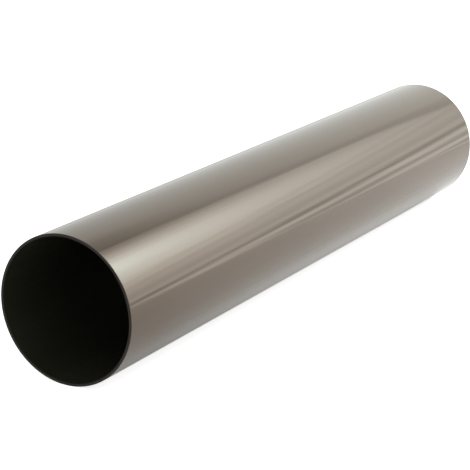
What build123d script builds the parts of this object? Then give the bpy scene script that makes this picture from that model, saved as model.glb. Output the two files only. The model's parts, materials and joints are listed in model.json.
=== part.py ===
from build123d import *
import os

os.makedirs("parts", exist_ok=True)

# A straight length of round rainwater downpipe, plain at both ends.
# It is one extruded tube, stored lying along X with its underside on the floor.
# All lengths are in millimetres.

outer_diameter = 75.0
wall = 1.4
length = 400.0

# The saw's sharp edge is broken a little all round each cut end.
outer_edge_break = 0.3
inner_edge_break = 0.2

outer_radius = outer_diameter / 2
bore_radius = outer_radius - wall

# The tube's axis is level, one outer radius above the floor.
axis_height = outer_radius
end_plane = Plane(origin=(-length / 2, 0, axis_height), z_dir=(1, 0, 0))

with BuildPart() as downpipe:
    with BuildSketch(end_plane):
        Circle(outer_radius)
        Circle(bore_radius, mode=Mode.SUBTRACT)
    extrude(amount=length)
    end_rims = downpipe.edges().filter_by(GeomType.CIRCLE).sort_by(SortBy.RADIUS)
    bore_rims = end_rims[:2]
    outer_rims = end_rims[2:]
    chamfer(bore_rims, length=inner_edge_break)
    chamfer(outer_rims, length=outer_edge_break)

downpipe.part.label = "downpipe"
export_step(downpipe.part, "parts/downpipe.step")
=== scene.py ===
import json
import math

import bmesh
import bpy
from mathutils import Euler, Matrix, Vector


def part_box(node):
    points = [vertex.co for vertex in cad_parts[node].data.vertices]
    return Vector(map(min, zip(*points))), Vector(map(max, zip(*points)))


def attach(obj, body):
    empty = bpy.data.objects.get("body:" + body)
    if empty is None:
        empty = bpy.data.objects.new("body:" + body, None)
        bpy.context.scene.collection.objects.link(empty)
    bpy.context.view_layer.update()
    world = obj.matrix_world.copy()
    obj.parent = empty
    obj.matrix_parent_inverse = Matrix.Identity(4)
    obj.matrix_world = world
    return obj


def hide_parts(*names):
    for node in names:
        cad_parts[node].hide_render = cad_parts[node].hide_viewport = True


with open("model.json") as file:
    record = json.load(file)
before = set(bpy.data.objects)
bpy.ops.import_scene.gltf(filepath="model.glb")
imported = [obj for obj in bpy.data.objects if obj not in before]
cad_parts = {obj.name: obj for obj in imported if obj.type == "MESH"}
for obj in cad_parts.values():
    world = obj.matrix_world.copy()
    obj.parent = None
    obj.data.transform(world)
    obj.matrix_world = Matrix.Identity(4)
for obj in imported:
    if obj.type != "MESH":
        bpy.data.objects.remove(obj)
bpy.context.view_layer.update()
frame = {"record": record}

scene = bpy.context.scene
scene.view_settings.view_transform = "Standard"

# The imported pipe's own sizes, in metres
low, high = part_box("downpipe")
outer_radius = (high.z - low.z) / 2
axis_height = (high.z + low.z) / 2
half_length = (high.x - low.x) / 2
middle_x = (high.x + low.x) / 2
bore_mount = next(mount for mount in frame["record"]["mounts"] if mount["name"] == "bore")
bore_radius = bore_mount["dims"]["r_mm"] / 1000

# The worn edges of the cut ends, and how finely the pipe's surface is divided.
# The outer third of an outer edge's rounding still has the skin on it.
outer_edge_round = 0.00022
bore_edge_round = 0.00015
edge_steps = 5
edge_margin = 0.0003
wall_steps = 12
turn_steps = 384
skin_depth = outer_edge_round / 3

# The glossy brown skin, and the dull scuffs on it beside the cut ends
skin_dark = (0.102, 0.079, 0.0565, 1)
skin_pale = (0.110, 0.0855, 0.0615, 1)
skin_tint = (1.0, 0.72, 0.56, 1)
skin_ior = 1.5
skin_roughness = (0.055, 0.085)
skin_roughness_full = 0.6
skin_line_depth = 0.000014
worn_colour = (0.05, 0.042, 0.038, 1)
worn_roughness = 0.3
wear_reach = (0.0003, 0.0014)
wear_patches = (0.5, 1.0)

# The black plastic of the bore, and of the sawn ends where it is paler and rougher
bore_dark = (0.019, 0.021, 0.012, 1)
bore_pale = (0.024, 0.026, 0.016, 1)
bore_roughness = (0.4, 0.55)
bore_line_depth = 0.000003
cut_dark = (0.023, 0.019, 0.016, 1)
cut_pale = (0.040, 0.033, 0.028, 1)
cut_roughness = (0.55, 0.75)
cut_depth = (0.00015, 0.0003)
saw_mark_depth = 0.00002
core_specular = 0.25

# Grain sizes: how many times per metre each noise repeats along, across and up
line_grain = (2.0, 520.0, 520.0)
blotch_grain = (14.0, 45.0, 45.0)
wear_grain = (60.0, 160.0, 160.0)
saw_grain = (1.0, 2400.0, 90.0)

# The camera, in metres and degrees. Its yaw is the way it looks, turned from +X towards +Y.
camera_place = (-0.8153, -0.4497, 0.2996)
camera_yaw = 30.145
camera_pitch = -16.533
camera_lens = 130.84
camera_sensor = 36.0

# The world lights the pipe evenly, at world_level. In the pipe's gloss it is a white studio:
# the walls' levels go by how far a direction points along +X, and the dark ceiling
# and the skirting by how far it points up.
white = (1, 1, 1, 1)
studio_white = (0.952, 1.0, 0.971, 1)
world_level = 0.74
wall_stops = [(0.6, 0.95), (0.73, 1.25), (0.9, 1.66), (0.97, 0.95)]
ceiling_starts = (0.54, 0.67)
ceiling_loss = 0.8
skirting_height = 0.6
skirting_loss = 0.2

# The lit panel that the pipe mirrors stands upright to the pipe's right.
# Places on it are in pipe radii: along its foot, and above the pipe's axis.
floor_up = -1.0
panel_azimuth = math.radians(-69.0)
panel_distance = 11.6
panel_left = 3.0
panel_left_blur = (3.0, 5.5)
panel_top = 26.0

# The panel's right edge leans. Past it, a clear border dims what is seen through it a little.
panel_right_foot = (18.5, floor_up)
panel_right_top = (25.8, panel_top)
border_width = 8.0
edge_blur = (1.4, 0.0)
border_loss = 0.2
border_fade = (2.0, 8.0)

# Soft seams cross the panel at a slope. Their levels go by the distance above seam_start.
seam_slope = 0.21
seam_start = (16.0, floor_up)
seam_stops = [
    (0.1, 0.6),
    (0.6, 1.75),
    (1.2, 0.85),
    (1.9, 1.6),
    (2.6, 0.6),
    (3.3, 1.2),
    (4.0, 0.95),
    (5.2, 1.1),
    (5.7, 1.0),
    (6.4, 1.2),
    (6.9, 1.1),
    (7.6, 1.25),
    (8.2, 1.25),
]

# The panel is brightest at glow_place. Its colour goes over to glow_white between two levels.
glow_place = (5.4, 13.2)
glow_sizes = (5.8, 5.7)
glow_level = 16.2
glow_white = (0.92, 1.12, 1.14, 1)
glow_whitens = (2.5, 8.0)

# The soft lamp, at a place on the panel, lights the pipe's colour and the floor
lamp_place = (10.0, 8.0)
lamp_size = 0.35
lamp_power = 1.15

# The pale floor, which is white to the camera
floor_colour = (0.85, 0.85, 0.85, 1)
floor_half_side = 30.0
floor_white = 0.8

# In the pipe's gloss only, the floor shows painted light: a painted brighter part to the pipe's
# right, with painted shade close beside the pipe, a painted glow at the panel's foot, and a slow
# rise with distance. Places are in pipe radii from the near end.
bright_floor_levels = (0.36, 0.61)
bright_floor_along = (0.3, 5.5)
bright_floor_side = (1.5, -0.5)
painted_shade_width = 1.0
bright_floor_beyond = (8.0, 11.5)
painted_foot_glow_level = 1.1
panel_foot_reach = (2.2, -0.3)
panel_foot_along = (11.0, 12.4)
far_floor_level = 0.42
far_floor_distance = 60.0


class Nodes:
    """Short calls that build a node tree. A value is a number, a vector or another node's output."""

    noise_limits = (0.25, 0.75)
    highest_level = 2.0

    def __init__(self, tree):
        self.tree = tree

    def add(self, kind, operation=None, **inputs):
        node = self.tree.nodes.new(kind)
        if operation:
            node.operation = operation
        for name, value in inputs.items():
            self.feed(node.inputs[name.replace("_", " ")], value)
        return node

    def feed(self, socket, value):
        if isinstance(value, bpy.types.NodeSocket):
            self.tree.links.new(value, socket)
        else:
            socket.default_value = value

    def calculate(self, kind, operation, values):
        node = self.add(kind, operation)
        for socket, value in zip(node.inputs, values):
            self.feed(socket, value)
        return node.outputs

    def math(self, operation, *values):
        return self.calculate("ShaderNodeMath", operation, values)[0]

    def vector(self, operation, *values):
        outputs = self.calculate("ShaderNodeVectorMath", operation, values)
        return outputs["Value" if operation == "DOT_PRODUCT" else "Vector"]

    def sum_of_squares(self, first, second):
        return self.math("ADD", self.math("POWER", first, 2), self.math("POWER", second, 2))

    def smooth(self, value, start, end, start_level=0.0, end_level=1.0):
        """Goes gently from start_level at start to end_level at end."""
        node = self.add("ShaderNodeMapRange", Value=value)
        node.interpolation_type = "SMOOTHSTEP"
        self.feed(node.inputs["From Min"], start)
        self.feed(node.inputs["From Max"], end)
        self.feed(node.inputs["To Min"], start_level)
        self.feed(node.inputs["To Max"], end_level)
        return node.outputs["Result"]

    def mix(self, share, first, second):
        """The first colour where share is 0, the second where it is 1."""
        node = self.tree.nodes.new("ShaderNodeMix")
        node.data_type = "RGBA"
        self.feed(node.inputs[0], share)
        self.feed(node.inputs[6], first)
        self.feed(node.inputs[7], second)
        return node.outputs[2]

    def noise(self, place, grain, detail=2.0):
        """Noise from 0 to 1, stretched to its own grain size in each direction."""
        stretched = self.vector("MULTIPLY", place, grain)
        noise = self.add("ShaderNodeTexNoise", Vector=stretched, Scale=1.0, Detail=detail)
        return self.smooth(noise.outputs[0], *self.noise_limits)

    def bump(self, height, depth):
        node = self.add("ShaderNodeBump", Height=height, Distance=depth, Strength=1.0)
        return node.outputs["Normal"]

    def profile(self, value, stops):
        """A smooth curve through (value, level) stops, with levels up to highest_level."""
        first, last = stops[0][0], stops[-1][0]
        node = self.tree.nodes.new("ShaderNodeValToRGB")
        node.color_ramp.interpolation = "EASE"
        points = node.color_ramp.elements
        while len(points) > 1:
            points.remove(points[-1])
        for index, (place, level) in enumerate(stops):
            share = (place - first) / (last - first)
            grey = level / self.highest_level
            point = points[0] if index == 0 else points.new(share)
            point.position = share
            point.color = (grey, grey, grey, 1)
        past_first = self.math("SUBTRACT", value, first)
        self.feed(node.inputs["Fac"], self.math("DIVIDE", past_first, last - first))
        return self.math("MULTIPLY", node.outputs["Color"], self.highest_level)

    def place(self):
        return self.add("ShaderNodeNewGeometry").outputs["Position"]

    def place_on_object(self):
        return self.add("ShaderNodeTexCoord").outputs["Object"]

    def ray(self, kind):
        return self.add("ShaderNodeLightPath").outputs[kind]


def new_material(name):
    material = bpy.data.materials.new(name)
    material.use_nodes = True
    return material, Nodes(material.node_tree), material.node_tree.nodes


def place_camera():
    data = bpy.data.cameras.new("camera")
    data.sensor_width = camera_sensor
    data.lens = camera_lens
    camera = bpy.data.objects.new("camera", data)
    camera.location = camera_place
    tilt = math.radians(90 + camera_pitch)
    turn = math.radians(camera_yaw - 90)
    camera.rotation_euler = Euler((tilt, 0, turn))
    scene.collection.objects.link(camera)
    scene.camera = camera


def rounded_edge(end_x, inward, wall_radius, towards_core, size):
    """A quarter circle from the flat cut end to the long wall, as (x, radius) points."""
    points = []
    for step in range(edge_steps + 1):
        turn = math.pi / 2 * step / edge_steps
        x = end_x + inward * size * (1 - math.cos(turn))
        radius = wall_radius + towards_core * size * (1 - math.sin(turn))
        points.append((x, radius))
    return points


def long_wall(radius, edge_size):
    """Points from end to end. The outermost lie close to the edges, to keep the shading straight."""
    near = low.x + edge_size + edge_margin
    far = high.x - edge_size - edge_margin
    return [(near + (far - near) * step / wall_steps, radius) for step in range(wall_steps + 1)]


def pipe_section():
    """The wall's closed outline as (x, radius) points: along the outside, back through the bore."""
    outer_near = rounded_edge(low.x, 1, outer_radius, -1, outer_edge_round)
    outer_far = rounded_edge(high.x, -1, outer_radius, -1, outer_edge_round)
    bore_near = rounded_edge(low.x, 1, bore_radius, 1, bore_edge_round)
    bore_far = rounded_edge(high.x, -1, bore_radius, 1, bore_edge_round)
    outside = outer_near + long_wall(outer_radius, outer_edge_round) + outer_far[::-1]
    inside = bore_far + long_wall(bore_radius, bore_edge_round)[::-1] + bore_near[::-1]
    return outside + inside


def make_ring(bm, x, radius):
    """One circle of vertices round the pipe's axis."""
    ring = []
    for step in range(turn_steps):
        turn = 2 * math.pi * step / turn_steps
        y = radius * math.cos(turn)
        z = axis_height + radius * math.sin(turn)
        ring.append(bm.verts.new((x, y, z)))
    return ring


def make_pipe():
    bm = bmesh.new()
    section = pipe_section()
    rings = [make_ring(bm, x, radius) for x, radius in section]
    for index, ring in enumerate(rings):
        following = (index + 1) % len(rings)
        lowest_radius = min(section[index][1], section[following][1])
        is_skin = lowest_radius > outer_radius - skin_depth
        for step in range(turn_steps):
            beside = (step + 1) % turn_steps
            corners = (ring[step], rings[following][step], rings[following][beside], ring[beside])
            face = bm.faces.new(corners)
            face.smooth = True
            face.material_index = 0 if is_skin else 1
    bmesh.ops.recalc_face_normals(bm, faces=bm.faces)
    mesh = bpy.data.meshes.new("pipe")
    bm.to_mesh(mesh)
    bm.free()
    mesh.materials.append(skin_material())
    mesh.materials.append(core_material())
    pipe = bpy.data.objects.new("pipe", mesh)
    scene.collection.objects.link(pipe)
    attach(pipe, "root")
    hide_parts("downpipe")


def to_cut_end(nodes, place):
    """How far a place lies from the nearer cut end, in metres."""
    x = nodes.add("ShaderNodeSeparateXYZ", Vector=place).outputs["X"]
    from_middle = nodes.math("ABSOLUTE", nodes.math("SUBTRACT", x, middle_x))
    return nodes.math("SUBTRACT", half_length, from_middle)


def skin_material():
    """Glossy brown skin with faint lines from the die, and patchy scuffs beside the cut ends."""
    material, nodes, tree_nodes = new_material("skin")
    shader = tree_nodes["Principled BSDF"]
    place = nodes.place_on_object()
    lines = nodes.noise(place, line_grain)
    blotches = nodes.noise(place, blotch_grain)
    reach = nodes.smooth(nodes.noise(place, wear_grain), *wear_patches, *wear_reach)
    wear = nodes.smooth(to_cut_end(nodes, place), 0, reach, 1, 0)
    clean_colour = nodes.mix(blotches, skin_dark, skin_pale)
    nodes.feed(shader.inputs["Base Color"], nodes.mix(wear, clean_colour, worn_colour))
    mottle = nodes.math("MULTIPLY", lines, blotches)
    clean_roughness = nodes.smooth(mottle, 0, skin_roughness_full, *skin_roughness)
    roughness = nodes.math("MULTIPLY_ADD", wear, worn_roughness, clean_roughness)
    nodes.feed(shader.inputs["Roughness"], roughness)
    nodes.feed(shader.inputs["Normal"], nodes.bump(lines, skin_line_depth))
    shader.inputs["IOR"].default_value = skin_ior
    shader.inputs["Specular Tint"].default_value = skin_tint
    return material


def core_material():
    """Black plastic: fine lines along the bore, and pale saw marks across the cut ends."""
    material, nodes, tree_nodes = new_material("core")
    shader = tree_nodes["Principled BSDF"]
    place = nodes.place_on_object()
    is_cut = nodes.smooth(to_cut_end(nodes, place), *cut_depth, 1, 0)
    lines = nodes.noise(place, line_grain)
    blotches = nodes.noise(place, blotch_grain)
    saw_marks = nodes.noise(place, saw_grain)
    bore_colour = nodes.mix(blotches, bore_dark, bore_pale)
    cut_colour = nodes.mix(saw_marks, cut_dark, cut_pale)
    nodes.feed(shader.inputs["Base Color"], nodes.mix(is_cut, bore_colour, cut_colour))
    in_bore = nodes.smooth(lines, 0, 1, *bore_roughness)
    on_cut = nodes.smooth(saw_marks, 0, 1, *cut_roughness)
    nodes.feed(shader.inputs["Roughness"], nodes.smooth(is_cut, 0, 1, in_bore, on_cut))
    bore_height = nodes.math("MULTIPLY", lines, bore_line_depth)
    cut_height = nodes.math("MULTIPLY", saw_marks, saw_mark_depth)
    height = nodes.smooth(is_cut, 0, 1, bore_height, cut_height)
    nodes.feed(shader.inputs["Normal"], nodes.bump(height, 1.0))
    shader.inputs["Specular IOR Level"].default_value = core_specular
    return material


def make_stage_plane(name, corners, material):
    mesh = bpy.data.meshes.new(name)
    mesh.from_pydata(corners, [], [tuple(range(len(corners)))])
    mesh.materials.append(material)
    plane = bpy.data.objects.new(name, mesh)
    scene.collection.objects.link(plane)
    return plane


def panel_ways():
    """Two level directions: from the pipe square to the panel, and along the panel's foot."""
    to_panel = Vector((math.cos(panel_azimuth), math.sin(panel_azimuth), 0))
    along_foot = Vector((-math.sin(panel_azimuth), math.cos(panel_azimuth), 0))
    return to_panel, along_foot


def on_panel(along, up):
    to_panel, along_foot = panel_ways()
    foot = Vector((low.x, 0, axis_height)) + to_panel * panel_distance * outer_radius
    return foot + along_foot * along * outer_radius + Vector((0, 0, up * outer_radius))


def in_radii(nodes, place, start, way):
    """How far a place lies from start in one direction, in pipe radii."""
    from_start = nodes.vector("SUBTRACT", place, start)
    return nodes.math("DIVIDE", nodes.vector("DOT_PRODUCT", from_start, way), outer_radius)


def painted_floor_light_level(nodes):
    """How bright the floor is in the pipe's gloss: painted light, with painted shade beside the
    pipe.
    """
    place = nodes.place()
    near_end = Vector((low.x, 0, 0))
    along = in_radii(nodes, place, near_end, (1, 0, 0))
    aside = in_radii(nodes, place, near_end, (0, 1, 0))

    painted_bright_part = nodes.smooth(along, *bright_floor_along, *bright_floor_levels)
    painted_bright_part = nodes.math("MULTIPLY", painted_bright_part, nodes.smooth(aside, *bright_floor_side))
    # Painted shade: close beside the pipe the floor is darker in the gloss, except past the pipe's
    # far end.
    clear_of_painted_shade = nodes.smooth(nodes.math("ABSOLUTE", aside), 0, painted_shade_width)
    beyond_pipe = nodes.smooth(along, *bright_floor_beyond)
    painted_bright_part = nodes.math("MULTIPLY", painted_bright_part, nodes.math("MAXIMUM", clear_of_painted_shade, beyond_pipe))

    # A painted glow on the floor at the panel's foot, where the panel's light would fall.
    to_panel = panel_ways()[0]
    before_panel = in_radii(nodes, place, on_panel(0, 0), -to_panel)
    painted_foot_glow = nodes.smooth(before_panel, *panel_foot_reach, 0, painted_foot_glow_level)
    painted_foot_glow = nodes.math("MULTIPLY", painted_foot_glow, nodes.smooth(along, *panel_foot_along))

    distance = nodes.math("SQRT", nodes.sum_of_squares(along, aside))
    rise = nodes.smooth(distance, 0, far_floor_distance, 0, far_floor_level)
    return nodes.math("ADD", nodes.math("ADD", painted_bright_part, painted_foot_glow), rise)


def make_floor():
    material, nodes, tree_nodes = new_material("floor")
    shader = tree_nodes["Principled BSDF"]
    shader.inputs["Base Color"].default_value = floor_colour
    shader.inputs["Roughness"].default_value = 1.0
    shader.inputs["Specular IOR Level"].default_value = 0
    # Glossy rays see the floor's painted light and painted shade; the camera sees the floor white.
    is_gloss = nodes.ray("Is Glossy Ray")
    mirrored = nodes.math("MULTIPLY", painted_floor_light_level(nodes), is_gloss)
    strength = nodes.math("MULTIPLY_ADD", nodes.ray("Is Camera Ray"), floor_white, mirrored)
    nodes.feed(shader.inputs["Emission Color"], nodes.mix(is_gloss, white, studio_white))
    nodes.feed(shader.inputs["Emission Strength"], strength)
    side = floor_half_side
    corners = [(-side, -side, 0), (side, -side, 0), (side, side, 0), (-side, side, 0)]
    make_stage_plane("floor", corners, material)


def panel_light(nodes, place):
    """The panel's light: a wide soft glow, with seams across it."""
    along_foot = panel_ways()[1]
    upward = Vector((0, 0, 1))
    along_seam = (along_foot + upward * seam_slope).normalized()
    across_seam = (upward - along_foot * seam_slope).normalized()
    from_glow = []
    for way, size in zip((along_seam, across_seam), glow_sizes):
        distance = in_radii(nodes, place, on_panel(*glow_place), way)
        from_glow.append(nodes.math("DIVIDE", distance, size))
    spread = nodes.math("ADD", nodes.sum_of_squares(*from_glow), 1)
    glow = nodes.math("DIVIDE", glow_level, spread)
    above_start = in_radii(nodes, place, on_panel(*seam_start), across_seam)
    strength = nodes.math("MULTIPLY", glow, nodes.profile(above_start, seam_stops))
    colour = nodes.mix(nodes.smooth(glow, *glow_whitens), studio_white, glow_white)
    return nodes.add("ShaderNodeEmission", Color=colour, Strength=strength)


def past_right_edge(nodes, place):
    """How far a place lies past the panel's right edge, in pipe radii."""
    edge = on_panel(*panel_right_top) - on_panel(*panel_right_foot)
    to_panel = panel_ways()[0]
    return in_radii(nodes, place, on_panel(*panel_right_foot), edge.cross(to_panel).normalized())


def make_panel():
    material, nodes, tree_nodes = new_material("panel")
    tree_nodes.remove(tree_nodes["Principled BSDF"])
    place = nodes.place()
    past_edge = past_right_edge(nodes, place)
    clearness = nodes.smooth(past_edge, *border_fade, 1 - border_loss, 1)
    border = nodes.add("ShaderNodeBsdfTransparent", Color=clearness)
    from_left = in_radii(nodes, place, on_panel(0, 0), panel_ways()[1])
    left_share = nodes.smooth(from_left, *panel_left_blur)
    right_share = nodes.smooth(past_edge, *edge_blur)
    mix = nodes.add("ShaderNodeMixShader", Fac=nodes.math("MULTIPLY", right_share, left_share))
    nodes.feed(mix.inputs[1], border.outputs[0])
    nodes.feed(mix.inputs[2], panel_light(nodes, place).outputs[0])
    nodes.feed(tree_nodes["Material Output"].inputs["Surface"], mix.outputs[0])

    left_foot = (panel_left, floor_up)
    right_foot = (panel_right_foot[0] + border_width, floor_up)
    right_top = (panel_right_top[0] + border_width, panel_top)
    left_top = (panel_left, panel_top)
    corners = [on_panel(*corner) for corner in (left_foot, right_foot, right_top, left_top)]
    panel = make_stage_plane("panel", corners, material)
    panel.visible_camera = False
    panel.visible_diffuse = False
    panel.visible_shadow = False


def make_world():
    world = bpy.data.worlds.new("world")
    scene.world = world
    world.use_nodes = True
    nodes = Nodes(world.node_tree)
    background = world.node_tree.nodes["Background"]
    direction = nodes.add("ShaderNodeTexCoord").outputs["Generated"]
    split = nodes.add("ShaderNodeSeparateXYZ", Vector=direction)
    walls = nodes.profile(split.outputs["X"], wall_stops)
    ceiling = nodes.smooth(split.outputs["Z"], *ceiling_starts, 1, 1 - ceiling_loss)
    skirting = nodes.smooth(split.outputs["Z"], 0, skirting_height, 1 - skirting_loss, 1)
    mirrored = nodes.math("MULTIPLY", nodes.math("MULTIPLY", walls, ceiling), skirting)
    is_gloss = nodes.ray("Is Glossy Ray")
    gloss_part = nodes.math("MULTIPLY", nodes.math("SUBTRACT", mirrored, world_level), is_gloss)
    camera_part = nodes.math("MULTIPLY", nodes.ray("Is Camera Ray"), 1 - world_level)
    strength = nodes.math("ADD", nodes.math("ADD", gloss_part, camera_part), world_level)
    nodes.feed(background.inputs["Strength"], strength)
    nodes.feed(background.inputs["Color"], nodes.mix(is_gloss, white, studio_white))


def make_lamp():
    data = bpy.data.lights.new("lamp", "AREA")
    data.shape = "DISK"
    data.size = lamp_size
    data.energy = lamp_power
    lamp = bpy.data.objects.new("lamp", data)
    lamp.location = on_panel(*lamp_place)
    middle = Vector((0, 0, axis_height))
    lamp.rotation_euler = (middle - lamp.location).to_track_quat("-Z", "Y").to_euler()
    lamp.visible_glossy = False
    lamp.visible_camera = False
    scene.collection.objects.link(lamp)


place_camera()
make_pipe()
make_floor()
make_panel()
make_world()
make_lamp()
